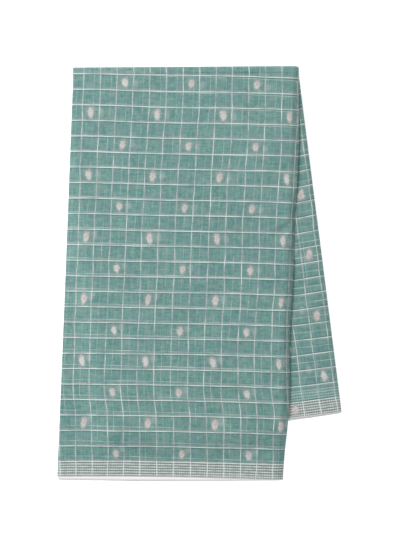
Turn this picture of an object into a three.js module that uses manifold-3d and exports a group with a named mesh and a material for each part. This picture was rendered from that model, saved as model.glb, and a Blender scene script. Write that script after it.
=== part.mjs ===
// A folded silk saree, laid flat on a surface.
// One length of cloth is halved four times along its length into a packet of sixteen layers. The packet is then
// folded over near the middle of its height, so that a front leaf lies on a back leaf, which swings out to the right.
// X runs to the right, Y from the front hem up to the top fold, and Z up from the surface. Sizes are in millimetres.
import * as THREE from "three";
import { mergeVertices } from "three/addons/utils/BufferGeometryUtils.js";
import Module from "manifold-3d";

// The cloth and its folding
const SAREE_LENGTH = 5500;
const LAYERS = 16;
const PACKET_WIDTH = SAREE_LENGTH / LAYERS;
const LAYER_PITCH = 0.6875;
const LEAF_THICKNESS = LAYERS * LAYER_PITCH;
const LEAF_GAP = 0.4;
const ROLL_RADIUS = LEAF_THICKNESS + LEAF_GAP / 2;
const WALL = 1;
const SEAM_GAP = 0.3;

// The two leaves in plan. The top corners lie on the axis of the top roll.
const FRONT = {
  topLeft: { x: -190.8, y: 300.4 },
  topRight: { x: 150.5, y: 302.7 },
  hemLeft: { x: -215.8, y: -308.2 },
  hemRight: { x: 126.9, y: -313.9 },
  hemBow: 2,
};
const BACK = {
  topLeft: { x: -193, y: 300.4 },
  topRight: { x: 150.5, y: 302.7 },
  hemLeft: { x: -127, y: -236 },
  hemRight: { x: 215.8, y: -211.3 },
  hemBow: -6.4,
};
// Where the front leaf's right-hand fold swells outwards: its place and reach along the leaf, and by how much
const SPINE_SWELLS = [
  { at: 0.2, reach: 0.22, out: 4.2 },
  { at: 0.48, reach: 0.28, out: 3.4 },
  { at: 0.8, reach: 0.2, out: 4.6 },
];
// The front leaf comes down from the back leaf to the surface in one soft step
const FALL_START = 5;
const FALL_LENGTH = 46;
// Soft waves of the front face: wave length across and along, its phase and its height
const FACE_WAVES = [
  { across: 210, along: 330, phase: 0.6, height: 0.45 },
  { across: 95, along: -170, phase: 2.1, height: 0.25 },
];
const WAVE_FADE = 0.08;
// The strip of the back leaf that the front leaf leaves free rises a little
const FREE_STRIP_PUFF = 1;
const FREE_STRIP_START = 9;
const FREE_STRIP_RISE = 22;

// Samples across a packet, between the middle of its left fold and the middle of its spine
const LEFT_FOLD_RADIUS = LEAF_THICKNESS / 4;
const SPINE_CENTRE = PACKET_WIDTH - LEAF_THICKNESS / 2;
const ACROSS = [
  LEFT_FOLD_RADIUS, 15, 31, 47, 63, 81, 101, 131, 167, 207, 243, 270, 290, 308, 324, SPINE_CENTRE,
];
// Samples along each leaf, as shares of its length from the roll to the hem
const FRONT_ALONG = [
  0, 0.08, 0.17, 0.26, 0.35, 0.44, 0.53, 0.62, 0.71, 0.79, 0.85, 0.878, 0.902, 0.926, 0.95, 0.974, 1,
];
const BACK_ALONG = [0, 0.1, 0.22, 0.35, 0.5, 0.65, 0.8, 0.9, 0.97, 1];
const ROLL_STEPS = 6;
const LEFT_FOLD_STEPS = 4;
const SPINE_STEPS = 4;
const FOLD_STUB = 9.5;
const STUB_PLAY = 0.25;

// Layers that reach past the outer layer's hem: their depth in the leaf, and how far they reach at the left,
// in the middle and at the right
const FRONT_HEM_LAYERS = [
  { from: 1.6, to: 3.2, left: 1.2, middle: 4.5, right: -0.4 },
  { from: 4.2, to: 5.2, left: 0.4, middle: 1.8, right: -0.8 },
  { from: 6.1, to: 7.3, left: 1, middle: 3.4, right: -0.4 },
  { from: 8.2, to: 9.3, left: -0.6, middle: 1, right: -1.2 },
];
const BACK_HEM_LAYERS = [
  { from: 7.9, to: 9.5, left: 4, middle: 4.6, right: 0 },
  { from: 5.4, to: 6.6, left: 1.5, middle: 2, right: -0.6 },
  { from: 2.2, to: 3.6, left: 2.8, middle: 3.2, right: -0.3 },
];
const HEM_LAYER_INSET = 12;
const HEM_LAYER_ROOT = 16;
const CORE_HEM_INSET = 2;
// Edges shorter than this, left where solids are joined, are closed up
const JOIN_TOLERANCE = 0.02;

const CLOTH = new THREE.MeshStandardMaterial({ color: 0x829f9a, roughness: 0.62, metalness: 0 });
const INNER_CLOTH = new THREE.MeshStandardMaterial({ color: 0x8fa8a3, roughness: 0.7, metalness: 0 });

const lerp = THREE.MathUtils.lerp;
const smooth = (t) => THREE.MathUtils.smoothstep(t, 0, 1);

/** How far the spine swells outwards at a share v of the front leaf's length. */
function spineSwell(v) {
  const share = ({ at, reach }) => Math.min(1, Math.abs(v - at) / reach);
  return SPINE_SWELLS.reduce((sum, swell) => sum + swell.out * Math.cos((share(swell) * Math.PI) / 2) ** 2, 0);
}

/** The plan position of a point w across a leaf, and a share v along it from the roll to the hem. */
function planPoint(leaf, w, v) {
  const across = w / PACKET_WIDTH;
  const swell = leaf === FRONT ? spineSwell(v) * smooth(across) : 0;
  const left = lerp(leaf.topLeft.x, leaf.hemLeft.x, v);
  const right = lerp(leaf.topRight.x, leaf.hemRight.x, v);
  const leftY = lerp(leaf.topLeft.y, leaf.hemLeft.y, v);
  const rightY = lerp(leaf.topRight.y, leaf.hemRight.y, v);
  const bow = leaf.hemBow * 4 * across * (1 - across) * v * v;
  return { x: lerp(left, right, across) + swell, y: lerp(leftY, rightY, across) + bow };
}

/** How far a plan point lies outside the back leaf; 0 or less is on it. */
function outsideBack(x, y) {
  const side = new THREE.Vector2(BACK.hemLeft.x - BACK.topLeft.x, BACK.hemLeft.y - BACK.topLeft.y).normalize();
  const fromSide = (BACK.hemLeft.x - x) * -side.y + (BACK.hemLeft.y - y) * side.x;
  const across = (x - BACK.hemLeft.x) / (BACK.hemRight.x - BACK.hemLeft.x);
  const bow = BACK.hemBow * 4 * across * (1 - across) * (across > 0 && across < 1 ? 1 : 0);
  const fromHem = lerp(BACK.hemLeft.y, BACK.hemRight.y, across) + bow - y;
  if (fromSide <= 0 && fromHem <= 0) return Math.max(fromSide, fromHem);
  return Math.hypot(Math.max(0, fromSide), Math.max(0, fromHem));
}

/** The height of the front leaf's underside. */
function frontBottom(x, y) {
  return (LEAF_THICKNESS + LEAF_GAP) * (1 - smooth((outsideBack(x, y) - FALL_START) / FALL_LENGTH));
}

/** The front leaf's thickness, with the soft waves of its face. */
function frontThickness(x, y, v) {
  const wave = ({ across, along, phase, height }) =>
    height * Math.sin(2 * Math.PI * (x / across + y / along) + phase);
  const waves = FACE_WAVES.reduce((sum, row) => sum + wave(row), 0);
  return LEAF_THICKNESS + waves * smooth(v / WAVE_FADE);
}

/** The back leaf's thickness, which grows a little to the right of the front leaf. */
function backThickness(x, y, v) {
  const frontV = (FRONT.topRight.y - y) / (FRONT.topRight.y - FRONT.hemRight.y);
  const frontEdge = planPoint(FRONT, PACKET_WIDTH, Math.max(0, frontV)).x;
  const free = smooth((x - frontEdge - FREE_STRIP_START) / FREE_STRIP_RISE);
  return LEAF_THICKNESS + FREE_STRIP_PUFF * free * smooth(v / WAVE_FADE);
}

/** Places a point of the packet, w across it and at a depth below its outer face, at a station along it. */
function place(station, w, depth) {
  if (station.angle !== undefined) {
    const across = w / PACKET_WIDTH;
    const radius = ROLL_RADIUS - depth;
    const leftX = lerp(FRONT.topLeft.x, BACK.topLeft.x, station.angle / Math.PI);
    return new THREE.Vector3(
      lerp(leftX, FRONT.topRight.x, across),
      lerp(FRONT.topLeft.y, FRONT.topRight.y, across) + radius * Math.sin(station.angle),
      ROLL_RADIUS + radius * Math.cos(station.angle),
    );
  }
  const v = typeof station.v === "function" ? station.v(w) : station.v;
  const { x, y } = planPoint(station.leaf, w, v);
  const z =
    station.leaf === FRONT
      ? frontBottom(x, y) + frontThickness(x, y, v) * (1 - depth / LEAF_THICKNESS)
      : (backThickness(x, y, v) * depth) / LEAF_THICKNESS;
  return new THREE.Vector3(x, y, z);
}

/** Points of a fold: an arc about a centre, turned from one angle to another, with the outward direction at each. */
function foldArc(centre, radius, fromDegrees, toDegrees, steps) {
  return Array.from({ length: steps + 1 }, (_, i) => {
    const angle = THREE.MathUtils.degToRad(lerp(fromDegrees, toDegrees, i / steps));
    const outW = Math.cos(angle);
    const outDepth = Math.sin(angle);
    return { w: centre.w + radius * outW, depth: centre.depth + radius * outDepth, outW, outDepth };
  });
}

/** The outer layer's path round a packet: the left fold, the outer face, the spine and the inner face. */
function wrapPath() {
  const leftCentre = { w: LEFT_FOLD_RADIUS, depth: LEFT_FOLD_RADIUS };
  const spineCentre = { w: SPINE_CENTRE, depth: LEAF_THICKNESS / 2 };
  const middle = ACROSS.slice(1, -1);
  return [
    { w: FOLD_STUB, depth: 2 * LEFT_FOLD_RADIUS, outW: 0, outDepth: 1 },
    ...foldArc(leftCentre, LEFT_FOLD_RADIUS, 90, 270, LEFT_FOLD_STEPS),
    ...middle.map((w) => ({ w, depth: 0, outW: 0, outDepth: -1 })),
    ...foldArc(spineCentre, LEAF_THICKNESS / 2, -90, 90, SPINE_STEPS),
    ...middle.toReversed().map((w) => ({ w, depth: LEAF_THICKNESS, outW: 0, outDepth: 1 })),
    { w: LEFT_FOLD_RADIUS, depth: LEAF_THICKNESS, outW: 0, outDepth: 1 },
  ];
}

/** The outline of the layers inside a packet: lobes at the left, where they are folded or end, and a round spine. */
function corePath() {
  const inset = WALL + SEAM_GAP;
  const leftCentre = { w: LEFT_FOLD_RADIUS, depth: LEFT_FOLD_RADIUS };
  const spineCentre = { w: SPINE_CENTRE, depth: LEAF_THICKNESS / 2 };
  const middle = ACROSS.slice(1, -1);
  const lobe = LEFT_FOLD_RADIUS - inset;
  const notch = FOLD_STUB + 1;
  const stubTop = 2 * LEFT_FOLD_RADIUS - inset - STUB_PLAY;
  const stubFoot = 2 * LEFT_FOLD_RADIUS + SEAM_GAP + STUB_PLAY;
  return [
    ...foldArc(leftCentre, lobe, 180, 270, 2),
    ...middle.map((w) => ({ w, depth: inset, rib: w })),
    ...foldArc(spineCentre, LEAF_THICKNESS / 2 - inset, -90, 90, SPINE_STEPS),
    ...middle.toReversed().map((w) => ({ w, depth: LEAF_THICKNESS - inset, rib: w })),
    // The lowest fold, then a fold and two free ends above it, with a slot between each
    { w: 3.6, depth: 9.7 },
    { w: 2.8, depth: 9.1 },
    { w: 3.6, depth: 8.6 },
    { w: 9, depth: 8.4 },
    { w: 5, depth: 8.2 },
    { w: 4.1, depth: 7.6 },
    { w: 5, depth: 7 },
    { w: 9, depth: 6.9 },
    { w: 6.4, depth: 6.8 },
    { w: 6.4, depth: stubFoot },
    { w: notch, depth: stubFoot },
    { w: notch, depth: stubTop },
    { w: LEFT_FOLD_RADIUS, depth: stubTop },
  ];
}

/** A closed mesh from its points and triangles, turned so that its faces point outwards. */
function closedMesh(points, triangles) {
  const volume = triangles.reduce((sum, [a, b, c]) => {
    const cross = new THREE.Vector3().crossVectors(points[b], points[c]);
    return sum + points[a].dot(cross);
  }, 0);
  const turned = volume < 0 ? triangles.map(([a, b, c]) => [a, c, b]) : triangles;
  return new THREE.BufferGeometry().setFromPoints(points).setIndex(turned.flat());
}

/** A sheet with a wall: the path is swept through the stations, and its inner side follows it at the wall's depth. */
function sweptSheet(path, stations, wall) {
  const rows = stations.length;
  const columns = path.length;
  const outer = path.flatMap(({ w, depth }) => stations.map((s) => place(s, w, depth)));
  const inner = path.flatMap(({ w, depth, outW, outDepth }) =>
    stations.map((s) => place(s, w - wall * outW, depth - wall * outDepth)),
  );
  const out = (i, j) => i * rows + j;
  const inn = (i, j) => columns * rows + i * rows + j;
  const triangles = [];
  const quad = (a, b, c, d) => triangles.push([a, b, c], [a, c, d]);
  for (let i = 0; i < columns - 1; i++) {
    for (let j = 0; j < rows - 1; j++) {
      quad(out(i, j), out(i + 1, j), out(i + 1, j + 1), out(i, j + 1));
      // The same corners as outside, in the other order, so that both sides share each quad's diagonal
      triangles.push([inn(i, j), inn(i + 1, j + 1), inn(i + 1, j)], [inn(i, j), inn(i, j + 1), inn(i + 1, j + 1)]);
    }
    quad(out(i, 0), inn(i, 0), inn(i + 1, 0), out(i + 1, 0));
    quad(out(i, rows - 1), out(i + 1, rows - 1), inn(i + 1, rows - 1), inn(i, rows - 1));
  }
  for (let j = 0; j < rows - 1; j++) {
    quad(out(0, j), out(0, j + 1), inn(0, j + 1), inn(0, j));
    quad(out(columns - 1, j), inn(columns - 1, j), inn(columns - 1, j + 1), out(columns - 1, j + 1));
  }
  return closedMesh([...outer, ...inner], triangles);
}

/** An outline's end face, cut into panels at each pair of points that share a rib. */
function endPanels(outline) {
  const range = (from, to) => Array.from({ length: to - from + 1 }, (_, k) => from + k);
  const panels = [];
  let first = 0;
  let last = outline.length - 1;
  outline.forEach(({ rib }, i) => {
    const partner = outline.findLastIndex((point) => rib !== undefined && point.rib === rib);
    if (partner <= i) return;
    panels.push([...range(first, i), ...range(partner, last)]);
    first = i;
    last = partner;
  });
  panels.push(range(first, last));
  return panels.filter((panel) => panel.length > 2);
}

/** A solid whose closed outline is swept through the stations, with an end face at each end. */
function sweptSolid(outline, stations) {
  const rows = stations.length;
  const points = outline.flatMap(({ w, depth }) => stations.map((s) => place(s, w, depth)));
  const at = (i, j) => (i % outline.length) * rows + j;
  const triangles = [];
  for (let i = 0; i < outline.length; i++) {
    for (let j = 0; j < rows - 1; j++) {
      triangles.push([at(i, j), at(i + 1, j), at(i + 1, j + 1)], [at(i, j), at(i + 1, j + 1), at(i, j + 1)]);
    }
  }
  for (const panel of endPanels(outline)) {
    const flat = panel.map((i) => new THREE.Vector2(outline[i].w, outline[i].depth));
    for (const corners of THREE.ShapeUtils.triangulateShape(flat, [])) {
      const [a, b, c] = corners.map((k) => panel[k]);
      triangles.push([at(a, 0), at(c, 0), at(b, 0)], [at(a, rows - 1), at(b, rows - 1), at(c, rows - 1)]);
    }
  }
  return closedMesh(points, triangles);
}

/** A layer that reaches past the hem of a leaf, rooted in the layers inside it. */
function hemLayer(leaf, row) {
  const samples = ACROSS.map((w) => THREE.MathUtils.clamp(w, HEM_LAYER_INSET, PACKET_WIDTH - HEM_LAYER_INSET));
  const outline = [
    ...samples.map((w) => ({ w, depth: row.from, rib: w })),
    ...samples.toReversed().map((w) => ({ w, depth: row.to, rib: w })),
  ];
  const length = leaf.topLeft.y - leaf.hemLeft.y;
  const reach = (w) => {
    const across = w / PACKET_WIDTH;
    const ends = lerp(row.left, row.right, across);
    return ends + (row.middle - (row.left + row.right) / 2) * Math.sin(Math.PI * across);
  };
  const root = { leaf, v: 1 - HEM_LAYER_ROOT / length };
  const end = { leaf, v: (w) => 1 + reach(w) / length };
  return sweptSolid(outline, leaf === FRONT ? [end, root] : [root, end]);
}

const wasm = await Module();
wasm.setup();

/** A three.js mesh geometry as a solid that can be joined. */
function solidOf(geometry) {
  const merged = mergeVertices(geometry, 1e-4);
  return new wasm.Manifold(
    new wasm.Mesh({
      numProp: 3,
      vertProperties: new Float32Array(merged.attributes.position.array),
      triVerts: new Uint32Array(merged.index.array),
    }),
  );
}

/** Several geometries joined into one. */
function joined(geometries) {
  const solid = geometries.map(solidOf).reduce((sum, next) => sum.add(next)).simplify(JOIN_TOLERANCE);
  const { vertProperties, triVerts } = solid.getMesh();
  return new THREE.BufferGeometry()
    .setAttribute("position", new THREE.BufferAttribute(new Float32Array(vertProperties), 3))
    .setIndex(new THREE.BufferAttribute(new Uint32Array(triVerts), 1));
}

/** The stations of a leaf, in the order from the front hem to the back hem, with the seam's gap left at the roll. */
function leafStations(leaf, shares) {
  const length = leaf.topLeft.y - leaf.hemLeft.y;
  const stations = shares.map((v) => ({ leaf, v: v === 0 ? SEAM_GAP / length : v }));
  return leaf === FRONT ? stations.toReversed() : stations;
}

/** The stations of the roll, from the front leaf to the back leaf. */
function rollStations() {
  return Array.from({ length: ROLL_STEPS + 1 }, (_, i) => ({ angle: (Math.PI * i) / ROLL_STEPS }));
}

/** The layers inside both leaves and the roll, with the ones that reach past the hems. */
function hiddenLayers() {
  const frontShares = FRONT_ALONG.slice(1, -1);
  const backShares = BACK_ALONG.slice(1, -1);
  const frontLength = FRONT.topLeft.y - FRONT.hemLeft.y;
  const backLength = BACK.topLeft.y - BACK.hemLeft.y;
  const stations = [
    { leaf: FRONT, v: 1 - CORE_HEM_INSET / frontLength },
    ...frontShares.toReversed().map((v) => ({ leaf: FRONT, v })),
    ...rollStations(),
    ...backShares.map((v) => ({ leaf: BACK, v })),
    { leaf: BACK, v: 1 - CORE_HEM_INSET / backLength },
  ];
  return joined([
    sweptSolid(corePath(), stations),
    ...FRONT_HEM_LAYERS.map((row) => hemLayer(FRONT, row)),
    ...BACK_HEM_LAYERS.map((row) => hemLayer(BACK, row)),
  ]);
}

/** A named mesh. */
function piece(name, geometry, material) {
  const mesh = new THREE.Mesh(geometry, material);
  mesh.name = name;
  return mesh;
}

const saree = new THREE.Group();
saree.name = "folded_saree";
saree.add(
  piece("front_wrap", sweptSheet(wrapPath(), leafStations(FRONT, FRONT_ALONG), WALL), CLOTH),
  piece("top_roll", sweptSheet(wrapPath(), rollStations(), WALL), CLOTH),
  piece("back_wrap", sweptSheet(wrapPath(), leafStations(BACK, BACK_ALONG), WALL), CLOTH),
  piece("hidden_layers", hiddenLayers(), INNER_CLOTH),
);

export default saree;
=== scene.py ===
"""A folded silk saree, laid flat.

One length of cloth is halved four times along its length into a packet of sixteen layers, and the packet is
folded over at the top, so that a front leaf lies on a back leaf, which swings out to the right. Sizes are in
millimetres until a mesh is made. X runs to the right, Y from the front hem up to the top fold, and Z up from
the surface.
"""

import logging
import math
from collections.abc import Callable
from dataclasses import dataclass, field
from enum import Enum

import bmesh
import bpy
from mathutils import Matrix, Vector


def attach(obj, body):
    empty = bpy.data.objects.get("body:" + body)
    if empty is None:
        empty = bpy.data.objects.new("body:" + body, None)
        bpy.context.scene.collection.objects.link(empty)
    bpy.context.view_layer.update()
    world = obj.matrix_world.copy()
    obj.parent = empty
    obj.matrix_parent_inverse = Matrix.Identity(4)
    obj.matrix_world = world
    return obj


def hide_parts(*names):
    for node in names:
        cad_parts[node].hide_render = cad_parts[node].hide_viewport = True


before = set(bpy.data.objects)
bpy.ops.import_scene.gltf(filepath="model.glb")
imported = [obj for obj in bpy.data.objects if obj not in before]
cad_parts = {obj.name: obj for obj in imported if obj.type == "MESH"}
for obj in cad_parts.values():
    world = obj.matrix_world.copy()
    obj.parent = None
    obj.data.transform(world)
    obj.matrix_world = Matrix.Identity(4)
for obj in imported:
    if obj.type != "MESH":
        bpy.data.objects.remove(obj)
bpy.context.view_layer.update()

log = logging.getLogger("saree")

Pair = tuple[float, float]

METRES = 0.001
UV_NAME = "cloth"


def lerp(a: float, b: float, t: float) -> float:
    """Mixes two values by a share t."""
    return a + (b - a) * t


def smooth(t: float) -> float:
    """Eases from 0 to 1 as t goes from 0 to 1."""
    t = min(1.0, max(0.0, t))
    return t * t * (3 - 2 * t)


def linear(code: str) -> tuple[float, ...]:
    """Turns an sRGB colour in hex, such as "#6f9791", into a linear one with an alpha of 1."""
    shares = (int(code[k : k + 2], 16) / 255 for k in (1, 3, 5))
    return *(s / 12.92 if s <= 0.04045 else ((s + 0.055) / 1.055) ** 2.4 for s in shares), 1.0


@dataclass(frozen=True)
class Ramp:
    """A soft rise: where it starts, its length and its height."""

    start: float
    length: float
    height: float = 1.0

    def at(self, t: float) -> float:
        """How far it has risen at t."""
        return self.height * smooth((t - self.start) / self.length)


class Leaf(Enum):
    """The stretches of the packet, from the front hem to the back hem."""

    FRONT = "front leaf"
    ROLL = "top roll"
    BACK = "back leaf"


@dataclass(frozen=True)
class LeafPlan:
    """A leaf's corners in plan, the top ones on the top roll's axis, and how far its hem bows.

    Places across the packet count from its left fold, and shares of a leaf's length from the roll to the hem.
    """

    top_left: Pair
    top_right: Pair
    hem_left: Pair
    hem_right: Pair
    hem_bow: float

    def point(self, across: float, v: float) -> Pair:
        """Finds a point of the leaf in plan.

        Args:
            across: Share of the width, from the left edge.
            v: Share of the length, from the roll to the hem.

        Returns:
            The point's x and y.
        """
        left = [lerp(a, b, v) for a, b in zip(self.top_left, self.hem_left)]
        right = [lerp(a, b, v) for a, b in zip(self.top_right, self.hem_right)]
        bow = self.hem_bow * 4 * across * (1 - across) * v * v
        return lerp(left[0], right[0], across), lerp(left[1], right[1], across) + bow

    def length(self, across: float) -> float:
        """The leaf's length from the roll to the hem, at a share of its width."""
        return math.dist(self.point(across, 0), self.point(across, 1))


@dataclass(frozen=True)
class Swell:
    """A swelling of the front leaf's right-hand fold: its place and reach along the leaf, and its height."""

    place: float
    reach: float
    height: float

    def at(self, v: float) -> float:
        """How far it swells out at a share v of the leaf's length."""
        return self.height * math.cos(min(1.0, abs(v - self.place) / self.reach) * math.pi / 2) ** 2


@dataclass(frozen=True)
class Wave:
    """A soft wave of the front face: its lengths across and along, its phase and its height."""

    across: float
    along: float
    phase: float
    height: float

    def at(self, x: float, y: float) -> float:
        """How far it rises at a point in plan."""
        return self.height * math.sin(2 * math.pi * (x / self.across + y / self.along) + self.phase)


@dataclass(frozen=True)
class Station:
    """A place along the packet: a share v of a leaf's length, or an angle round the roll."""

    leaf: Leaf
    v: float = 0.0
    angle: float = 0.0


@dataclass(frozen=True)
class Packet:
    """The folded packet's form, as the frame's solids have it."""

    width: float = 5500 / 16
    thickness: float = 11.0
    leaf_gap: float = 0.4
    front: LeafPlan = LeafPlan((-190.8, 300.4), (150.5, 302.7), (-215.8, -308.2), (126.9, -313.9), 2.0)
    back: LeafPlan = LeafPlan((-193, 300.4), (150.5, 302.7), (-127, -236), (215.8, -211.3), -6.4)
    swells: tuple[Swell, ...] = (Swell(0.2, 0.22, 4.2), Swell(0.48, 0.28, 3.4), Swell(0.8, 0.2, 4.6))
    waves: tuple[Wave, ...] = (Wave(210, 330, 0.6, 0.45), Wave(95, -170, 2.1, 0.25))
    wave_fade: Ramp = Ramp(0, 0.08)
    # The front leaf comes down to the surface outside the back leaf's outline
    fall: Ramp = Ramp(5.0, 46.0)
    # The back leaf is a little thicker to the right of the front leaf, where nothing presses on it
    puff: Ramp = Ramp(9.0, 22.0, 1.0)
    # The roll's two ends are squarer than its middle, because a fold of many layers is sharp there
    corner: float = 0.65
    corner_reach: float = 3.0

    @property
    def roll_radius(self) -> float:
        """The outer radius of the top roll."""
        return self.thickness + self.leaf_gap / 2

    @property
    def spine_centre(self) -> float:
        """How far across the packet the centre of the spine lies."""
        return self.width - self.thickness / 2

    def swell(self, v: float) -> float:
        """How far the front leaf's spine swells outwards at a share v of its length."""
        return sum(swell.at(v) for swell in self.swells)

    def plan(self, leaf: Leaf, w: float, v: float) -> Pair:
        """Finds a point of a leaf in plan.

        Args:
            leaf: The front or the back leaf.
            w: How far across the packet it lies.
            v: Share of the leaf's length.

        Returns:
            The point's x and y.
        """
        across = w / self.width
        if leaf is Leaf.BACK:
            return self.back.point(across, v)
        x, y = self.front.point(across, v)
        return x + self.swell(v) * smooth(across), y

    def outside_back(self, x: float, y: float) -> float:
        """Finds how far a plan point lies outside the back leaf.

        Args:
            x: The point's x.
            y: The point's y.

        Returns:
            The distance, which is 0 or less on the leaf.
        """
        top, hem, far = self.back.top_left, self.back.hem_left, self.back.hem_right
        side = Vector((hem[0] - top[0], hem[1] - top[1])).normalized()
        from_side = (hem[0] - x) * -side.y + (hem[1] - y) * side.x
        across = (x - hem[0]) / (far[0] - hem[0])
        bow = self.back.hem_bow * 4 * across * (1 - across) if 0 < across < 1 else 0.0
        from_hem = lerp(hem[1], far[1], across) + bow - y
        if from_side <= 0 and from_hem <= 0:
            return max(from_side, from_hem)
        return math.hypot(max(0.0, from_side), max(0.0, from_hem))

    def front_bottom(self, x: float, y: float) -> float:
        """The height of the front leaf's underside, which falls to the surface past the back leaf."""
        fallen = self.fall.at(self.outside_back(x, y))
        return (self.thickness + self.leaf_gap) * (1 - fallen)

    def front_thickness(self, x: float, y: float, v: float) -> float:
        """The front leaf's thickness at a point in plan, with the soft waves of its face."""
        return self.thickness + sum(wave.at(x, y) for wave in self.waves) * self.wave_fade.at(v)

    def back_thickness(self, x: float, y: float, v: float) -> float:
        """Finds the back leaf's thickness, which grows a little to the right of the front leaf.

        Args:
            x: The point's x in plan.
            y: The point's y in plan.
            v: Share of the leaf's length.

        Returns:
            The thickness there.
        """
        front_v = (self.front.top_right[1] - y) / (self.front.top_right[1] - self.front.hem_right[1])
        front_edge = self.plan(Leaf.FRONT, self.width, max(0.0, front_v))[0]
        return self.thickness + self.puff.at(x - front_edge) * self.wave_fade.at(v)

    def place(self, station: Station, w: float, depth: float) -> Vector:
        """Places a point of the packet.

        Args:
            station: Where it lies along the packet.
            w: How far across the packet it lies.
            depth: How far below the packet's outer face it lies.

        Returns:
            The point in millimetres.
        """
        if station.leaf is Leaf.ROLL:
            across = w / self.width
            right_end = smooth((w - self.spine_centre) * 2 / self.thickness)
            ends = max(right_end, smooth(1 - w / self.corner_reach))
            radius = self.roll_radius - depth * (1 - self.corner * ends * math.sin(station.angle))
            left = lerp(self.front.top_left[0], self.back.top_left[0], station.angle / math.pi)
            x = lerp(left, self.front.top_right[0], across)
            y = lerp(self.front.top_left[1], self.front.top_right[1], across)
            height = self.roll_radius + radius * math.cos(station.angle)
            return Vector((x, y + radius * math.sin(station.angle), height))
        x, y = self.plan(station.leaf, w, station.v)
        if station.leaf is Leaf.FRONT:
            share = 1 - depth / self.thickness
            return Vector((x, y, self.front_bottom(x, y) + self.front_thickness(x, y, station.v) * share))
        return Vector((x, y, self.back_thickness(x, y, station.v) * depth / self.thickness))


@dataclass(frozen=True)
class Threads:
    """Where the woven check lies on the cloth: its spacing, and how its threads lie to the folds.

    A ramp named for the right rises across a leaf, and one named for down rises along it, towards its hem.
    """

    along_pitch: float = 25.1
    across_pitch: float = 23.47
    border_top: float = 22.85
    cloth_width: float = 1172.3
    # How far from the left fold the first upright thread lies, and by how many cells the back leaf is ahead
    front_first: float = 17.0
    back_first: float = 5.0
    back_down: Ramp = Ramp(0, 0.06)
    back_cells: int = 2
    # The front leaf's upright threads lean to the right, and drift to the left away from the left fold
    lean: float = 1.9
    drift: Ramp = Ramp(0, 140, 4.8)
    drift_loss: Ramp = Ramp(170, 170, 0.2)
    drift_down: Ramp = Ramp(0, 0.3)
    # Above the hem they bend to the right, and settle a little further below that
    kink: Ramp = Ramp(0.77, 0.1, 6.7)
    settle: Ramp = Ramp(0.85, 0.14, 5.2)
    settle_left: float = 0.6
    settle_right: Ramp = Ramp(0, 250, 0.4)
    # Beside the right-hand fold they are pulled in to the left, and less so near the hem
    pull: Ramp = Ramp(322, 12, 2.6)
    pull_loss: Ramp = Ramp(0.65, 0.2, 0.4)
    pull_down: Ramp = Ramp(0, 0.35)
    # The front leaf's level threads sag to the right, less on the roll and not at all at the hem
    sag: Ramp = Ramp(0, 0.42, 3.0)
    sag_loss: Ramp = Ramp(0.5, 0.4, 0.3)
    roll_sag: float = 0.5
    sag_down: Ramp = Ramp(0, 0.05, 0.5)
    sag_end: Ramp = Ramp(0.1, 0.75)
    # The back leaf's turn against its edges, sag near the roll and rise again near the hem
    turn: Ramp = Ramp(0, 0.3, 0.09)
    turn_end: Ramp = Ramp(0.35, 0.5)
    back_sag: Ramp = Ramp(0, 0.06, 4.8)
    back_sag_end: float = 0.8
    back_rise: Ramp = Ramp(0.75, 0.2, 1.2)

    def across(self, station: Station, run: float) -> float:
        """Finds how far across the check a point lies, along the length of the cloth.

        Args:
            station: Where the point lies along the packet.
            run: Its distance along the outer layer, from the left fold.

        Returns:
            The distance from the first thread of the check.
        """
        v = station.v
        if station.leaf is Leaf.BACK:
            first = lerp(self.front_first, self.back_first, self.back_down.at(v))
            return run - first + self.back_cells * self.along_pitch
        if station.leaf is Leaf.ROLL:
            return run - self.front_first
        right = self.lean * v + self.kink.at(v)
        right += self.settle.at(v) * (self.settle_left + self.settle_right.at(run))
        left = self.drift.at(run) * (1 - self.drift_loss.at(run)) * self.drift_down.at(v)
        left += self.pull.at(run) * (1 - self.pull_loss.at(v)) * self.pull_down.at(v)
        return run - self.front_first - right + left

    def from_hem(self, packet: Packet, station: Station, w: float) -> float:
        """Finds how far a point lies from the front hem's selvedge, over the roll to the back hem's.

        Args:
            packet: The packet's form.
            station: Where the point lies along the packet.
            w: How far across the packet it lies.

        Returns:
            The distance in the cloth.
        """
        across = min(1.0, max(0.0, w / packet.width))
        front = packet.front.length(across)
        back = packet.back.length(across)
        v = station.v
        sag = self.sag.at(across) * (1 - self.sag_loss.at(across))
        if station.leaf is Leaf.FRONT:
            sag *= (self.roll_sag + self.sag_down.at(v)) * (1 - self.sag_end.at(v))
            return (1 - v) * front + sag
        if station.leaf is Leaf.ROLL:
            return lerp(front + sag * self.roll_sag, self.cloth_width - back, station.angle / math.pi)
        turn = self.turn.at(v) * (1 - self.turn_end.at(v))
        sag = self.back_sag.at(v) * max(0.0, 1 - v / self.back_sag_end) - self.back_rise.at(v)
        return self.cloth_width - (1 - v) * back - (packet.width - w) * turn - sag


@dataclass(frozen=True)
class PathPoint:
    """A point of the cloth's path across the packet, with its distance along the cloth and its layer."""

    w: float
    depth: float
    run: float
    layer: int


@dataclass(frozen=True)
class FoldGroup:
    """Layers nested in one fold at the packet's left side, and how far it is set back from the edge."""

    first: int
    last: int
    setback: float


def halved(times: int) -> list[int]:
    """Finds which segment of the cloth's length each layer of the packet is.

    Args:
        times: How often the cloth is halved, its right half laid over its left.

    Returns:
        The segments from the packet's top layer down.
    """
    stacks = [[k] for k in range(2**times)]
    while len(stacks) > 1:
        stacks = [stacks[-1 - i][::-1] + stacks[i] for i in range(len(stacks) // 2)]
    return stacks[0]


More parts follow.
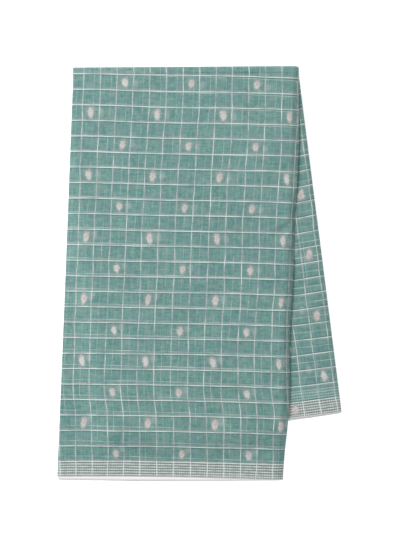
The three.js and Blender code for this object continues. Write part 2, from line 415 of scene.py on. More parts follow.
@dataclass(frozen=True)
class Folding:
    """The path of the cloth across the packet, back and forth through its layers."""

    packet: Packet
    halvings: int = 4
    cloth: float = 0.42
    bend_steps: int = 6
    groups: tuple[FoldGroup, ...] = (FoldGroup(0, 7, 0.0), FoldGroup(8, 11, 2.3), FoldGroup(12, 13, 1.1))
    free_end: float = 3.0
    # The outer layer ends in a stub beneath its left fold, where the hidden layers go on after a small gap
    stub: float = 9.5
    stub_gap: float = 0.6

    def middle(self, layer: float) -> float:
        """The depth of the middle of a layer, counted from the packet's top."""
        last = 2**self.halvings - 1
        return self.cloth / 2 + layer * (self.packet.thickness - self.cloth) / last

    def left_end(self, layer: int) -> float:
        """Finds how far across the packet a layer's flat stretch starts.

        Args:
            layer: The layer, counted from the packet's top.

        Returns:
            The place of its left end.
        """
        for group in self.groups:
            if group.first <= layer <= group.last:
                radius = self.middle(group.last) - self.middle((group.first + group.last) / 2)
                return group.setback + self.cloth / 2 + radius
        return self.free_end

    def bend(self, centre: float, start: float, end: float, side: int) -> list[Pair]:
        """Lays the points of a half-round bend between two depths.

        Args:
            centre: Where the bend's centre lies across the packet.
            start: The depth that it leaves.
            end: The depth that it reaches.
            side: 1 where it bulges to the right, -1 to the left.

        Returns:
            The places across and in depth, without the two ends.
        """
        radius = side * abs(end - start) / 2
        angles = [math.pi * k / self.bend_steps for k in range(1, self.bend_steps)]
        middle = (start + end) / 2
        half = start - middle
        return [(centre + radius * math.sin(a), middle + half * math.cos(a)) for a in angles]

    def with_runs(self, places: list[tuple[float, float, int]], start: float) -> list[PathPoint]:
        """Adds to each place of a path its distance along the cloth.

        Args:
            places: The places across and in depth, and their layers.
            start: The distance at the first place.

        Returns:
            The path.
        """
        run = start
        points = []
        for k, (w, depth, layer) in enumerate(places):
            if k:
                run += math.hypot(w - places[k - 1][0], depth - places[k - 1][1])
            points.append(PathPoint(w, depth, run, layer))
        return points

    def outer(self, top: list[float], under: list[float]) -> list[PathPoint]:
        """Lays the outer layer's path: its left fold, the outer face, the spine and the inner face.

        Args:
            top: Places across the outer face, from the left fold to the spine.
            under: Places across the inner face, from the spine to its free end.

        Returns:
            The path, on the outside of the cloth.
        """
        packet, group = self.packet, self.groups[0]
        stub_depth = self.middle(group.last) + self.cloth / 2
        fold = self.bend(stub_depth / 2, stub_depth, 0.0, -1)
        spine = self.bend(packet.spine_centre, 0.0, packet.thickness, 1)
        last = 2**self.halvings - 1
        places = [(self.stub, stub_depth, group.last), (stub_depth / 2, stub_depth, group.last)]
        places += [(w, depth, 0) for w, depth in fold]
        places += [(w, 0.0, 0) for w in [stub_depth / 2, *top, packet.spine_centre]]
        places += [(w, depth, 0) for w, depth in spine]
        places += [(w, packet.thickness, last) for w in [packet.spine_centre, *under, self.free_end]]
        # Distances count from the packet's left edge, so the stub and the fold lie before 0
        return self.with_runs(places, stub_depth - self.stub - math.pi * stub_depth / 2)

    def inner(self, shares: list[float]) -> list[PathPoint]:
        """Lays the hidden layers' path on the middle of the cloth, from the stub to the free end.

        Args:
            shares: Where each layer is sampled, as shares of its flat stretch.

        Returns:
            The path.
        """
        order = halved(self.halvings)
        # The first two segments of the cloth are the outer layer, underneath and on top
        hidden = [order.index(segment) for segment in range(2, len(order))]
        spine = self.packet.spine_centre
        places: list[tuple[float, float, int]] = []
        for k, layer in enumerate(hidden):
            left = self.stub + self.stub_gap if k == 0 else self.left_end(layer)
            flat = [(lerp(left, spine, share), self.middle(layer), layer) for share in shares]
            places += flat if k % 2 == 0 else flat[::-1]
            if k + 1 < len(hidden):
                side = 1 if k % 2 == 0 else -1
                centre = spine if side > 0 else self.left_end(layer)
                bend = self.bend(centre, self.middle(layer), self.middle(hidden[k + 1]), side)
                places += [(w, depth, layer) for w, depth in bend]
        return self.with_runs(places, 0.0)


def evenly(start: float, end: float, step: float) -> list[float]:
    """Values spaced about one step apart, from the start to the end."""
    count = max(1, round(abs(end - start) / step))
    return [lerp(start, end, k / count) for k in range(count + 1)]


@dataclass
class Sheet:
    """A stretch of the cloth, swept along the packet as a grid and given its thickness.

    Its offset says to which side the thickness goes, its relief how far a point is lifted, and its reach how
    far a point is carried past the hem.
    """

    name: str
    folding: Folding
    threads: Threads
    path: list[PathPoint]
    stations: list[Station]
    offset: float = -1.0
    relief: Callable[[Station, PathPoint, Vector], float] | None = None
    reach: Callable[[Station, PathPoint], float] | None = None

    def build(self) -> bpy.types.Object:
        """Makes the sheet's mesh and object.

        Returns:
            The object, with its UV map in metres of cloth.
        """
        bm = bmesh.new()
        columns, rows = len(self.path) - 1, len(self.stations) - 1
        bmesh.ops.create_grid(bm, x_segments=columns, y_segments=rows, size=0.5)
        bm.verts.ensure_lookup_table()
        packet = self.folding.packet
        woven = {}
        for vert in bm.verts:
            point = self.path[round((vert.co.x + 0.5) * columns)]
            station = self.stations[round((vert.co.y + 0.5) * rows)]
            past = self.reach(station, point) if self.reach else 0.0
            length = packet.front.length(0.5) if station.leaf is Leaf.FRONT else packet.back.length(0.5)
            shifted = Station(station.leaf, station.v + past / length, station.angle)
            spot = packet.place(shifted, point.w, point.depth)
            if self.relief:
                spot.z += self.relief(station, point, spot)
            vert.co = spot * METRES
            along = self.threads.from_hem(packet, station, point.w)
            woven[vert.index] = (self.threads.across(station, point.run) * METRES, along * METRES)
        layer = bm.loops.layers.uv.new(UV_NAME)
        for face in bm.faces:
            face.smooth = True
            for loop in face.loops:
                loop[layer].uv = woven[loop.vert.index]
        mesh = bpy.data.meshes.new(self.name)
        bm.to_mesh(mesh)
        bm.free()
        obj = bpy.data.objects.new(self.name, mesh)
        bpy.context.collection.objects.link(obj)
        solid = obj.modifiers.new("cloth_thickness", "SOLIDIFY")
        solid.thickness = self.folding.cloth * METRES
        solid.offset = self.offset
        return obj


Socket = bpy.types.NodeSocket
Value = Socket | float | tuple[float, ...]
Inputs = tuple[Value, ...] | dict[int | str, Value]


@dataclass(frozen=True)
class Finish:
    """A finish of the cloth: its colours as sRGB hex, and the width of its pale selvedge.

    Painted shade: the shade lies below the level threads, and the rim says how far the layers' very edges are
    darkened.
    """

    name: str
    teal: str = "#50817a"
    blue: str = "#5c8488"
    grey: str = "#76a098"
    mauve: str = "#979b9c"
    border: str = "#7f8683"
    # Painted shade, for the shadow below each level thread
    shade: str = "#3f6c66"
    thread: str = "#dae6e2"
    bud: str = "#d2d3cf"
    heart: str = "#c4aeac"
    selvedge: str = "#dbdcd9"
    selvedge_width: float = 1.2
    # How strongly the layers' very edges are painted darker, as shade between stacked layers
    rim: float = 0.0


@dataclass(frozen=True)
class BudSet:
    """A half-drop set of woven buds, four cells apart both ways: the cell of one bud, and a bud's size."""

    column: float
    row: float
    width: float
    height: float


class Weave:
    """Handloom silk and cotton: a teal ground with a slub, a cream check, small buds and a lined border.

    A position in the cloth is in millimetres, and 0 where two threads of the check cross. Inputs 1 to 4 of a
    MapRange are the two ends that it reads and the two that it gives, and 6 and 7 of a Mix are its colours.
    """

    def __init__(self, finish: Finish, threads: Threads) -> None:
        """Starts an empty material.

        Args:
            finish: The colours and the selvedge.
            threads: The spacing of the check.
        """
        self.finish = finish
        self.threads = threads
        self.material = bpy.data.materials.new(finish.name)
        self.material.use_nodes = True
        self.tree = self.material.node_tree
        self.tree.nodes.clear()

    def add(self, kind: str, inputs: Inputs, **settings: str | bool) -> Socket | None:
        """Adds a node with its settings and links.

        Args:
            kind: The node's type, without the word ShaderNode in front.
            inputs: The inputs in order, or by index or name: the socket that each is linked to, or its value.
            settings: The node's own properties.

        Returns:
            The node's first enabled output.
        """
        node = self.tree.nodes.new("ShaderNode" + kind)
        for name, value in settings.items():
            setattr(node, name, value)
        rows = inputs if isinstance(inputs, dict) else dict(enumerate(inputs))
        for key, value in rows.items():
            if isinstance(value, bpy.types.NodeSocket):
                self.tree.links.new(value, node.inputs[key])
            else:
                node.inputs[key].default_value = value
        return next((socket for socket in node.outputs if socket.enabled), None)

    def unevenness(self, cloth: Socket, lengths: Pair, seed: float, detail: float = 2.0) -> Socket:
        """Soft noise about 0.5 in the cloth.

        Args:
            cloth: Position in the cloth.
            lengths: How long its patches are along the cloth's length and across it.
            seed: Where in the noise it is read.
            detail: How many finer octaves it has.

        Returns:
            The noise.
        """
        scale = (1 / lengths[0], 1 / lengths[1], 1.0)
        spot = self.add("Mapping", {"Vector": cloth, "Location": (0.0, 0.0, seed), "Scale": scale})
        return self.add("TexNoise", {"Vector": spot, "Scale": 1.0, "Detail": detail})

    def rows(self, position: Socket, pitch: float, half_width: float, soft: float) -> Socket:
        """A row of threads: 1 on a thread and 0 between.

        Args:
            position: Position square to the threads, 0 in the middle of one.
            pitch: The distance between two threads.
            half_width: Half of a thread's width.
            soft: Half of the width over which its sides fade.

        Returns:
            How much of the threads shows.
        """
        away = self.add("Math", (position, pitch / 2), operation="PINGPONG")
        sides = (away, half_width - soft, half_width + soft, 1.0, 0.0)
        return self.add("MapRange", sides, interpolation_type="SMOOTHSTEP")

    def ground(self, cloth: Socket) -> Socket:
        """The ground of teal silk crossed with a greyer yarn, streaked both ways by uneven threads.

        Args:
            cloth: Position in the cloth.

        Returns:
            The colour.
        """
        finish = self.finish
        # The slubs are drawn 2 to 3 mm across, coarser than the real threads, so that they show
        slubs = (((42, 30), 4.4, 0.8), ((2.3, 22), 6.1, 1.6), ((20, 2.1), 8.9, 1.6), ((2.5, 2.1), 9.5, 1.6))
        share = 0.46 - sum(weight for _, _, weight in slubs) / 2
        for lengths, seed, weight in slubs:
            slub = (self.unevenness(cloth, lengths, seed), weight, share)
            share = self.add("Math", slub, operation="MULTIPLY_ADD")
        colour = self.add("Mix", {0: share, 6: linear(finish.teal), 7: linear(finish.grey)}, data_type="RGBA")
        cast = (self.unevenness(cloth, (17, 12), 2.2), 0.42, 0.68, 0.0, 0.5)
        bluish = {0: self.add("MapRange", cast), 6: colour, 7: linear(finish.blue)}
        return self.add("Mix", bluish, data_type="RGBA")

    def check(self, cloth: Socket) -> tuple[Socket, Socket]:
        """The cream check.

        Args:
            cloth: Position in the cloth.

        Returns:
            How much of the upright threads shows, which are worn and beaded in places, and of the level ones.
        """
        parts = self.add("SeparateXYZ", (cloth,)).node.outputs
        upright = self.rows(parts[0], self.threads.along_pitch, 0.52, 0.14)
        level = self.rows(parts[1], self.threads.across_pitch, 0.6, 0.14)
        # The beads are drawn 3 mm apart, coarser than the real 1.9 mm, so that they show
        beads = self.rows(parts[1], 3.0, 0.8, 0.35)
        beaded = (self.unevenness(cloth, (30, 46), 3.1), 0.44, 0.52, 1.0, 0.25)
        gaps = self.add("Math", (beads, self.add("MapRange", beaded)), operation="MAXIMUM")
        worn = (self.unevenness(cloth, (9, 20), 7.7), 0.38, 0.62, 0.25, 0.95)
        gaps = self.add("Math", (gaps, self.add("MapRange", worn)), operation="MULTIPLY")
        upright = self.add("Math", (upright, gaps), operation="MULTIPLY")
        worn = (self.unevenness(cloth, (20, 9), 5.7), 0.36, 0.58, 0.5, 0.98)
        level = self.add("Math", (level, self.add("MapRange", worn)), operation="MULTIPLY")
        return upright, level

    def cast(self, cloth: Socket) -> Socket:
        """The mauve yarn that shows in patches, most of all beside the threads of the check.

        Args:
            cloth: Position in the cloth.

        Returns:
            How much of it shows.
        """
        parts = self.add("SeparateXYZ", (cloth,)).node.outputs
        above = self.add("Math", (parts[1], 1.5), operation="SUBTRACT")
        level = self.rows(above, self.threads.across_pitch, 1.9, 1.4)
        upright = self.rows(parts[0], self.threads.along_pitch, 1.5, 1.1)
        both = self.add("Math", (level, upright), operation="MAXIMUM")
        patchy = (self.unevenness(cloth, (12, 8), 11.3), 0.36, 0.6, 0.15, 0.8)
        share = self.add("Math", (both, self.add("MapRange", patchy)), operation="MULTIPLY")
        spots = self.add("MapRange", (self.unevenness(cloth, (10, 7), 13.1), 0.42, 0.72, 0.0, 0.36))
        return self.add("Math", (share, spots), operation="MAXIMUM")

    def buds(self, cloth: Socket, buds: BudSet) -> tuple[Socket, Socket, Socket]:
        """One set of woven buds.

        Args:
            cloth: Position in the cloth.
            buds: Which set.

        Returns:
            How much of the buds shows, how rosy they are, and how much of the mauve yarn shows round them.
        """
        span = (4 * self.threads.along_pitch, 4 * self.threads.across_pitch, 1.0)
        first = (0.5 - buds.column / 4, 0.5 - buds.row / 4, 0.0)
        turns = self.add("VectorMath", (cloth, tuple(1 / s for s in span), first), operation="MULTIPLY_ADD")
        site = self.add("VectorMath", (turns,), operation="FLOOR")
        number = self.add("VectorMath", (site, (0.0, 0.0, buds.column)), operation="ADD")
        chance = self.add("TexWhiteNoise", (number,), noise_dimensions="3D")
        local = self.add("VectorMath", (turns,), operation="FRACTION")
        local = self.add("VectorMath", (local, span, tuple(-s / 2 for s in span)), operation="MULTIPLY_ADD")
        # Each bud leans a little its own way, and its outline is ragged where its threads float
        lean = self.add("MapRange", {0: chance, 3: -0.3, 4: 0.25})
        local = self.add("VectorRotate", {"Vector": local, "Angle": lean}, rotation_type="Z_AXIS")
        local = self.add("VectorMath", (local, (2 / buds.width, 2 / buds.height, 0.0)), operation="MULTIPLY")
        # A bud is widest above its middle and narrows to a point at its foot
        parts = self.add("SeparateXYZ", (local,)).node.outputs
        taper = self.add("Math", (parts[1], -0.2, 1.02), operation="MULTIPLY_ADD")
        side = self.add("Math", (parts[0], taper), operation="MULTIPLY")
        local = self.add("CombineXYZ", (side, parts[1]))
        radius = self.add("VectorMath", (local,), operation="LENGTH").node.outputs["Value"]
        from_heart = self.add("VectorMath", (local, (0.05, 0.15, 0.0)), operation="DISTANCE")
        heart = self.add("MapRange", (from_heart.node.outputs["Value"], 0.2, 0.85, 1.0, 0.12))
        ragged = self.unevenness(cloth, (2.6, 2.2), 1.3)
        radius = self.add("Math", (ragged, 1.2, radius), operation="MULTIPLY_ADD")
        body = self.add("MapRange", (radius, 1.05, 1.8, 0.9, 0.0), interpolation_type="SMOOTHSTEP")
        rosy = self.add("Math", (chance, 1.2, -0.95), operation="MULTIPLY_ADD")
        rosy = (self.unevenness(cloth, (2.2, 3.4), 5.2), 2.2, rosy)
        rosy = self.add("Math", rosy, operation="MULTIPLY_ADD", use_clamp=True)
        rosy = self.add("Math", (rosy, heart), operation="MULTIPLY")
        rim = self.add("MapRange", (radius, 1.6, 2.4, 0.5, 0.0))
        return body, rosy, rim

    def position(self) -> Socket:
        """The position in the cloth, which wanders as threads do on a hand loom.

        Returns:
            The position.
        """
        spot = self.add("UVMap", {}, uv_map=UV_NAME)
        flat = self.add("VectorMath", {0: spot, "Scale": 1 / METRES}, operation="SCALE")
        wander = (self.unevenness(flat, (33, 48), 0.4), self.unevenness(flat, (60, 24), 2.4))
        wander = (self.add("CombineXYZ", wander), (5.0, 1.8, 0.0), flat)
        wandered = self.add("VectorMath", wander, operation="MULTIPLY_ADD")
        # The noise is about 0.5, so half of it comes off again
        start = (wandered, (2.5, 0.9 + self.threads.border_top, 0.0))
        return self.add("VectorMath", start, operation="SUBTRACT")

    def border(self, cloth: Socket, edge: Socket, from_top: Socket) -> tuple[Socket, Socket]:
        """The lined border along both hems.

        Args:
            cloth: Position in the cloth.
            edge: Distance from the nearer hem's selvedge.
            from_top: Distance from the back hem's selvedge.

        Returns:
            How much of the border's ground shows, and of its cream threads.
        """
        across = self.add("SeparateXYZ", (cloth,))
        ground = self.add("MapRange", (edge, 23.4, 24.6, 0.94, 0.0))
        # On the back leaf, the border of the layer beneath shows above the hem's own
        above = (from_top, 39.0, 42.0, 0.38, 0.0)
        strength = self.add("Math", (ground, self.add("MapRange", above)), operation="MAXIMUM")
        inwards = self.add("Math", (edge, 3.1), operation="SUBTRACT")
        lines = self.rows(inwards, 3.95, 0.86, 0.3)
        # The border's threads are beaded too, drawn 3.4 mm apart so that the beads show
        beads = self.add("MapRange", {0: self.rows(across, 3.4, 0.95, 0.5), 3: 0.42, 4: 1.0})
        patchy = (self.unevenness(cloth, (7, 5), 16.0), 0.36, 0.52, 0.6, 1.05)
        for part in (strength, beads, self.add("MapRange", patchy)):
            lines = self.add("Math", (lines, part), operation="MULTIPLY")
        upright = (self.rows(across, self.threads.along_pitch, 0.6, 0.2), ground)
        upright = self.add("Math", upright, operation="MULTIPLY")
        return ground, self.add("Math", (lines, upright), operation="MAXIMUM")

    def build(self) -> bpy.types.Material:
        """Adds the nodes.

        Returns:
            The finished material.
        """
        finish, threads = self.finish, self.threads
        cloth = self.position()
        along = self.add("SeparateXYZ", (cloth,)).node.outputs[1]
        from_hem = self.add("Math", (along, threads.border_top), operation="ADD")
        from_top = self.add("Math", (threads.cloth_width, from_hem), operation="SUBTRACT")
        edge = self.add("Math", (from_hem, from_top), operation="MINIMUM")

        mauve = {0: self.cast(cloth), 6: self.ground(cloth), 7: linear(finish.mauve)}
        ground = self.add("Mix", mauve, data_type="RGBA")
        # Painted shade: the level threads stand proud, and the ground on their lower side is painted darker
        # for their shadow
        lower = self.add("Math", (along, 1.5), operation="ADD")
        shade = {0: self.rows(lower, threads.across_pitch, 0.8, 0.4), 3: 0.0, 4: 0.6}
        shade = {0: self.add("MapRange", shade), 6: ground, 7: linear(finish.shade)}
        ground = self.add("Mix", shade, data_type="RGBA")
        in_border, lines = self.border(cloth, edge, from_top)
        ground = self.add("Mix", {0: in_border, 6: ground, 7: linear(finish.border)}, data_type="RGBA")

        # The layer beneath shows through the thin cloth: the same check, turned by under a degree
        turned = {"Location": (-9.0, -8.3, 0.0), "Rotation": (0.0, 0.0, 0.012), "Scale": (1.0, 1.0143, 1.0)}
        beneath = self.add("Mapping", {"Vector": cloth, **turned})
        ghost = self.add("Math", self.check(beneath), operation="MAXIMUM")
        seen = (self.unevenness(cloth, (55, 40), 12.0), 0.34, 0.66, 0.1, 0.5)
        shown = self.add("Math", (ghost, self.add("MapRange", seen)), operation="MULTIPLY")
        for pattern in (*self.check(cloth), lines):
            shown = self.add("Math", (shown, pattern), operation="MAXIMUM")
        colour = self.add("Mix", {0: shown, 6: ground, 7: linear(finish.thread)}, data_type="RGBA")
        raised = shown
        for buds in (BudSet(2.5, 0.5, 9.6, 13.5), BudSet(0.5, 2.5, 9.8, 17.0)):
            through, _, _ = self.buds(beneath, buds)
            through = self.add("Math", (through, 0.22), operation="MULTIPLY")
            colour = self.add("Mix", {0: through, 6: colour, 7: linear(finish.bud)}, data_type="RGBA")
            body, rosy, rim = self.buds(cloth, buds)
            rim = {0: rim, 6: colour, 7: linear(finish.mauve)}
            colour = self.add("Mix", rim, data_type="RGBA")
            petals = {0: rosy, 6: linear(finish.bud), 7: linear(finish.heart)}
            petals = {0: body, 6: colour, 7: self.add("Mix", petals, data_type="RGBA")}
            colour = self.add("Mix", petals, data_type="RGBA")
            raised = self.add("Math", (raised, body), operation="MAXIMUM")
        # Painted shade darkens each layer's very edge by a random amount, so that stacked layers' edges tell
        # apart
        edge_shade_amount = (self.unevenness(cloth, (150, 60), 15.0, 0.0), 0.44, 0.56, 0.0, finish.rim)
        rim = (edge, 0.15, 0.5, self.add("MapRange", edge_shade_amount), 0.0)
        rim = {0: self.add("MapRange", rim), 6: linear(finish.selvedge), 7: linear(finish.border)}
        width = finish.selvedge_width
        pale = self.add("MapRange", (edge, width - 0.3, width + 0.3, 1.0, 0.0))
        pale = {0: pale, 6: colour, 7: self.add("Mix", rim, data_type="RGBA")}
        colour = self.add("Mix", pale, data_type="RGBA")

        # The weave's own relief, with the cream threads and the buds raised on it
        relief = (self.unevenness(cloth, (1.4, 1.4), 9.9), 0.9, raised)
        relief = self.add("Math", relief, operation="MULTIPLY_ADD")
        bump = self.add("Bump", {"Height": relief, "Strength": 0.35, "Distance": 0.0005})
        # Silk catches a soft light along its folds, and is otherwise almost matt
        looks = {"Base Color": colour, "Roughness": 0.6, "Sheen Weight": 0.15, "Sheen Roughness": 0.4,
                 "Specular IOR Level": 0.3, "Normal": bump}
        self.add("OutputMaterial", (self.add("BsdfPrincipled", looks),))
        return self.material


@dataclass(frozen=True)
class Crease:
    """A soft ridge of the face: its ends in plan, its width and its height, which is below 0 in a trough.

    A tuck is steep on the left of its line, and lies back over its far width on the right.
    """

    start: Pair
    end: Pair
    width: float
    height: float
    far: float | None = None

    def rise(self, spot: Vector) -> float:
        """Finds how far the crease lifts a point.

        Args:
            spot: The point.

        Returns:
            The height.
        """
        start, end = Vector(self.start), Vector(self.end)
        along = end - start
        t = (spot.xy - start).dot(along) / along.length_squared
        if not 0 < t < 1:
            return 0.0
        away = spot.xy - start - along * t
        width = self.far if self.far and along.cross(away) < 0 else self.width
        return self.height * math.sin(math.pi * t) * math.exp(-((away.length / width) ** 2))


@dataclass(frozen=True)
class Uneven:
    """A length that varies from layer to layer: its mean at each hem, and its wave's height and turns."""

    front: float
    back: float
    height: float
    turn: float
    phase: float = 0.0

    def at(self, leaf: Leaf, rank: int) -> float:
        """The length at a leaf's hem, for the layer of a rank counted from the leaf's upper face."""
        mean = self.front if leaf is Leaf.FRONT else self.back
        return mean + self.height * math.sin(self.turn * rank + self.phase)


@dataclass
class Saree:
    """The folded saree: the outer layer of each leaf and of the top roll, and the layers folded inside.

    The first crease is a tuck that runs up to the right-hand fold.
    """

    packet: Packet = field(default_factory=Packet)
    threads: Threads = field(default_factory=Threads)
    creases: tuple[Crease, ...] = (
        Crease((106, 56.3), (162, 87.7), 4.3, -4.5, 15.0),
        Crease((130, 292.6), (158, 291.6), 3.0, -0.6),
        Crease((-120, 262), (-96, 150), 9.0, 0.3),
        Crease((10, 250), (-12, 96), 10.0, -0.28),
        Crease((84, 214), (66, 40), 9.0, 0.3),
        Crease((-150, 60), (-172, -120), 10.0, -0.3),
        Crease((-60, 20), (-84, -170), 8.0, 0.3),
        Crease((30, -30), (8, -190), 9.0, -0.25),
        Crease((-190, -214), (-60, -232), 7.0, 0.5),
        Crease((-40, -238), (70, -226), 8.0, -0.45),
        Crease((60, -250), (126, -262), 6.0, 0.4),
    )
    step: float = 2.5
    # The creases fade towards both folds
    fade_left: Ramp = Ramp(3, 9)
    fade_right: Ramp = Ramp(0, 7)
    # The front leaf's right-hand fold is flattened, most of all at its edge
    flattened: Ramp = Ramp(-5.5, 9.0, 5.6)
    # Beneath the tuck, the hidden layers are sunk to keep clear of it
    sunk: Ramp = Ramp(-64, 40, 4.7)
    sunk_at: Pair = (136, 72)
    relief_down: Ramp = Ramp(0, 0.03)
    # How far the hidden layers reach past the outer layer's hem, and how far the deeper ones draw in
    reach_left: Uneven = Uneven(4.2, 9.0, 0.8, 1.7, 6.0)
    reach_middle: Uneven = Uneven(5.4, 3.2, 1.1, 2.3, 5.4)
    reach_right: Uneven = Uneven(0.1, 0.1, 0.5, 1.3)
    drawn_in: Uneven = Uneven(1.7, 1.7, 1.7, 1.35, 4.6)
    deeper_than: int = 2
    reach_down: Ramp = Ramp(0.95, 0.05)
    folding: Folding = field(init=False)

    def __post_init__(self) -> None:
        """Works out the folding."""
        self.folding = Folding(self.packet)

    def face(self, step: float) -> list[float]:
        """Places across a face, one step apart, from the left fold to the spine."""
        return evenly(7.0, self.packet.spine_centre - 3, step)

    def face_relief(self, station: Station, point: PathPoint, spot: Vector) -> float:
        """Finds how far the front leaf's creases and flattened fold lift or lower a point.

        Args:
            station: Where the point lies along the packet.
            point: Where it lies on the cloth's path.
            spot: Where it lies in the packet's even form.

        Returns:
            The height to add.
        """
        if station.leaf is not Leaf.FRONT:
            return 0.0
        past_spine = point.w - self.packet.spine_centre
        height = 1 - point.depth / self.packet.thickness
        relief = -self.flattened.at(past_spine) * height
        if point.depth < 0.01:
            fade = self.fade_left.at(point.w) * self.fade_right.at(-past_spine)
            relief += fade * sum(crease.rise(spot) for crease in self.creases)
        else:
            away = (spot.xy - Vector(self.sunk_at)).length
            relief -= self.sunk.at(-away) * height
        return self.relief_down.at(station.v) * relief

    def hem_reach(self, station: Station, point: PathPoint) -> float:
        """Finds how far past the outer layer's hem a point of the hidden layers lies.

        Args:
            station: Where the point lies along the packet.
            point: Where it lies on the cloth's path.

        Returns:
            The reach there.
        """
        leaf = station.leaf
        if leaf is Leaf.ROLL:
            return 0.0
        rank = point.layer if leaf is Leaf.FRONT else 2**self.folding.halvings - 1 - point.layer
        drawn_in = self.drawn_in.at(leaf, rank) if rank > self.deeper_than else 0.0
        left = self.reach_left.at(leaf, rank) - drawn_in
        middle = self.reach_middle.at(leaf, rank) - drawn_in
        right = self.reach_right.at(leaf, rank) - drawn_in / 2
        across = point.w / self.packet.width
        reach = lerp(left, right, across) + (middle - (left + right) / 2) * math.sin(math.pi * across)
        return reach * self.reach_down.at(station.v)

    def sheets(self) -> list[Sheet]:
        """Plans the stretches, with closer samples where they bend, show or end at a hem.

        Returns:
            The outer layer of the front leaf, of the top roll and of the back leaf, and the hidden layers.
        """
        folding, threads = self.folding, self.threads
        # A row for every step of the front leaf's 612 mm, and for every 4 mm of the back leaf's 528 mm
        turn = [Station(Leaf.ROLL, angle=angle) for angle in evenly(0, math.pi, math.pi / 16)]
        front = [Station(Leaf.FRONT, v) for v in evenly(1, 0, self.step / 612)]
        back = [Station(Leaf.BACK, v) for v in evenly(0, 1, 4 / 528)]
        front_path = folding.outer(self.face(self.step), self.face(12)[::-1])
        # Of the back leaf, only the strip at the right shows
        strip = evenly(self.packet.spine_centre - 3, 220, 3)
        back_path = folding.outer(self.face(9), strip + evenly(205, 10, 14))
        shares = [0, 0.012, 0.03, *[0.055 + 0.025 * k for k in range(12)], *evenly(0.38, 0.88, 0.05)]
        shares += [0.92, 0.95, 0.97, 0.982, 0.988, 0.994, 1]
        inner_front = [1, 0.992, 0.98, 0.965, *evenly(0.95, 0.859, 0.013), 0.84, 0.81]
        inner_front += [*evenly(0.77, 0.07, 0.05), 0.03]
        inner_back = [0.03, 0.08, *evenly(0.14, 0.88, 0.07), 0.93, 0.95, 0.97, 0.985, 1]
        inner = [Station(Leaf.FRONT, v) for v in inner_front] + turn[::2]
        inner += [Station(Leaf.BACK, v) for v in inner_back]
        return [
            Sheet("front_leaf_cloth", folding, threads, front_path, front, relief=self.face_relief),
            Sheet("top_fold_cloth", folding, threads, front_path, turn),
            Sheet("back_leaf_cloth", folding, threads, back_path, back),
            Sheet("folded_layers", folding, threads, folding.inner(shares), inner, 0.0,
                  self.face_relief, self.hem_reach),
        ]

    def build(self) -> None:
        """Builds and dresses each stretch."""
        cloth = Weave(Finish("handloom_silk_check"), self.threads).build()
        # The hidden layers have a wide pale selvedge and painted shade at each layer's very edge
        pale = Finish("handloom_silk_with_pale_selvedge", selvedge="#f6f4f3", selvedge_width=6.5, rim=1.0)
        hidden = Weave(pale, self.threads).build()
        # Each stretch's node, material, slot, flat size in metres, and its area where folding takes some up
        rows = (
            ("front_wrap", cloth, "cloth", (0.716, 0.612), None),
            ("top_roll", cloth, "cloth", (0.716, 0.035), 0.0128),
            ("back_wrap", cloth, "cloth", (0.716, 0.528), None),
            ("hidden_layers", hidden, "inner_cloth", (4.82, 1.17), None),
        )
        pieces = [sheet.build() for sheet in self.sheets()]
        for piece, (node, material, slot, flat, area) in zip(pieces, rows):
            piece.data.materials.append(material)
            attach(piece, "root")
            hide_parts(node)
            log.info("%s: %d faces", piece.name, len(piece.data.polygons))


@dataclass(frozen=True)
class Lamp:
    """A round lamp that points at the saree: its place and size in metres, and its power in watts."""

    name: str
    place: tuple[float, float, float]
    size: float
    power: float


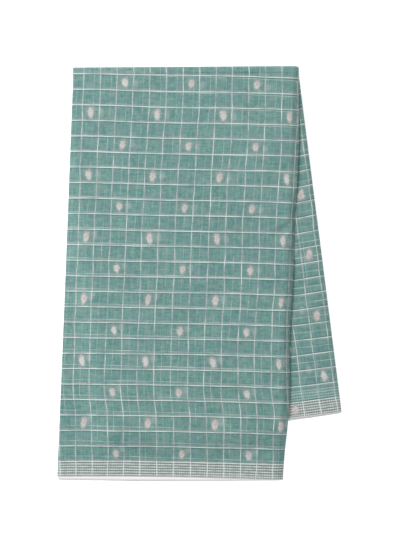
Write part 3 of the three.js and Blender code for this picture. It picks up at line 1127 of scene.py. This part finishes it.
@dataclass
class Studio:
    """The pale floor, the soft light and the camera straight above."""

    # Millimetres to a pixel, the picture's height in pixels, and the point that its middle shows
    pixel: float = 1.52
    picture_height: int = 533
    centre: Pair = (0.76, 9.9)
    # In metres: the camera's height, the floor's reach each way and its drop below the cloth
    camera_height: float = 3.2
    floor_reach: float = 16.0
    floor_drop: float = 0.0003
    room_light: float = 0.43
    lamps: tuple[Lamp, ...] = (
        Lamp("key", (-1.5, 1.1, 2.1), 1.3, 57.0),
        Lamp("fill", (0.2, -1.7, 2.1), 2.0, 11.0),
    )

    def floor(self) -> None:
        """Builds the floor."""
        bm = bmesh.new()
        bmesh.ops.create_grid(bm, x_segments=1, y_segments=1, size=self.floor_reach)
        bmesh.ops.translate(bm, verts=bm.verts, vec=(0, 0, -self.floor_drop))
        mesh = bpy.data.meshes.new("floor")
        bm.to_mesh(mesh)
        bm.free()
        floor = bpy.data.objects.new("floor", mesh)
        bpy.context.collection.objects.link(floor)
        # Matt paper with a light of its own is plain white all round, with only a soft shadow at the cloth
        paper = bpy.data.materials.new("matt_white_paper")
        paper.use_nodes = True
        looks = paper.node_tree.nodes["Principled BSDF"].inputs
        looks["Base Color"].default_value = (0.97, 0.97, 0.97, 1)
        looks["Roughness"].default_value = 0.9
        looks["Emission Color"].default_value = (1, 1, 1, 1)
        looks["Emission Strength"].default_value = 0.6
        mesh.materials.append(paper)

    def build(self) -> None:
        """Builds the floor, the lights and the camera."""
        self.floor()
        world = bpy.data.worlds.new("soft_room")
        world.use_nodes = True
        room = world.node_tree.nodes["Background"].inputs
        room["Color"].default_value = (1, 1, 1, 1)
        room["Strength"].default_value = self.room_light
        bpy.context.scene.world = world
        for lamp in self.lamps:
            data = bpy.data.lights.new(lamp.name, "AREA")
            data.shape = "DISK"
            data.size = lamp.size
            data.energy = lamp.power
            light = bpy.data.objects.new(lamp.name, data)
            light.location = lamp.place
            light.rotation_euler = (-Vector(lamp.place)).to_track_quat("-Z", "Y").to_euler()
            bpy.context.collection.objects.link(light)

        lens = bpy.data.cameras.new("camera")
        lens.sensor_fit = "VERTICAL"
        lens.sensor_height = 36
        lens.lens = lens.sensor_height * self.camera_height / (self.picture_height * self.pixel * METRES)
        camera = bpy.data.objects.new("camera", lens)
        camera.location = (self.centre[0] * METRES, self.centre[1] * METRES, self.camera_height)
        bpy.context.collection.objects.link(camera)
        bpy.context.scene.camera = camera
        bpy.context.scene.view_settings.view_transform = "Standard"


def main() -> None:
    """Builds the saree and its setting."""
    Saree().build()
    Studio().build()


if __name__ == "__main__":
    logging.basicConfig(level=logging.INFO, format="%(message)s")
    main()
